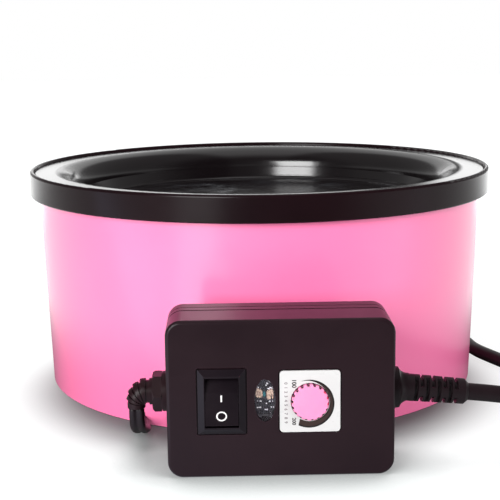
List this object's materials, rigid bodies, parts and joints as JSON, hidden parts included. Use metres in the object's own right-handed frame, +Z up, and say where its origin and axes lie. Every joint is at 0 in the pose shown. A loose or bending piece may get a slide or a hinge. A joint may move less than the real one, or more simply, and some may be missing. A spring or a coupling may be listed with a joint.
{
  "type": "floral hot glue pot",
  "caption": "Shallow non-stick glue pan in a round painted pot with a black rim, with a corded control box holding a rocker switch, lamp and dial.",
  "frame": {"origin": "on the pot's axis, at the surface it stands on", "axes": "+Z up along the pot's axis; -Y towards the control box and the user; +X to the right as the user looks at the dial"},
  "size_m": [0.2184, 0.325, 0.0855],
  "materials": {
    "shell_paint": "gloss pink enamel",
    "rim_plastic": "satin black",
    "pan_coating": "non-stick coating",
    "element_sheath": "dull sheath",
    "zinc_steel": "zinc plated",
    "bright_shield": "bright",
    "mineral_wool": "matted",
    "rubber_black": "matt",
    "ceramic_white": "glazed",
    "brass_contact": "bright",
    "wire_jacket": "woven sleeve",
    "case_plastic": "fine grain",
    "switch_plastic": "semi-gloss",
    "lens_plastic": "clear",
    "lamp_glass": "clear",
    "scale_white": "gloss",
    "knob_pink": "gloss",
    "board_laminate": "lacquered",
    "component_plastic": "moulded",
    "gland_plastic": "moulded",
    "cord_jacket": "satin"
  },
  "bodies": {
    "pot": {"outer_shell": "shell_paint", "rim_ring": "rim_plastic", "glue_pan": "pan_coating", "heating_element": "element_sheath", "heater_clamp_plate": "zinc_steel", "tie_rods": "zinc_steel", "clamp_nuts": "zinc_steel", "shield_nuts": "zinc_steel", "base_nuts": "zinc_steel", "spacer_sleeves": "zinc_steel", "heat_shield": "bright_shield", "insulation_pad": "mineral_wool", "thermal_cutout": "ceramic_white", "cutout_strap": "zinc_steel", "thermal_fuse": "zinc_steel", "fuse_clip": "zinc_steel", "base_plate": "zinc_steel", "foot_ring": "rubber_black", "lead_anchor": "rubber_black", "terminal_block": "ceramic_white", "terminal_screws": "brass_contact", "heater_wires": "wire_jacket", "lead_wires": "wire_jacket", "control_box_front": "case_plastic", "control_box_back": "case_plastic", "case_screws": "zinc_steel", "switch_body": "switch_plastic", "switch_tabs": "brass_contact", "indicator_lens": "lens_plastic", "indicator_lamps": "lamp_glass", "dial_plate": "scale_white", "potentiometer": "component_plastic", "circuit_board": "board_laminate", "triac": "component_plastic", "heat_sink": "bright_shield", "board_components": "component_plastic", "box_wires": "wire_jacket", "gland_body": "gland_plastic", "gland_nut": "gland_plastic", "gland_locknut": "gland_plastic", "gland_elbow": "gland_plastic", "pot_lead": "cord_jacket", "mains_boot": "gland_plastic", "mains_cord": "cord_jacket", "mains_coil": "cord_jacket", "cord_tie": "cord_jacket", "plug_body": "cord_jacket", "plug_blades": "brass_contact"},
    "rocker": {"switch_rocker": "switch_plastic"},
    "dial": {"dial_knob": "knob_pink", "dial_shaft": "zinc_steel"}
  },
  "joints": [
    {"name": "rocker_hinge", "type": "hinge", "parent": "pot", "child": "rocker", "pos_m": [-0.0159, -0.1264, 0.0252], "axis": [1, 0, 0], "range_deg": [0, 20]},
    {"name": "dial_turn", "type": "hinge", "parent": "pot", "child": "dial", "pos_m": [0.0118, -0.1275, 0.0249], "axis": [0, 1, 0], "range_deg": [0, 250]}
  ]
}
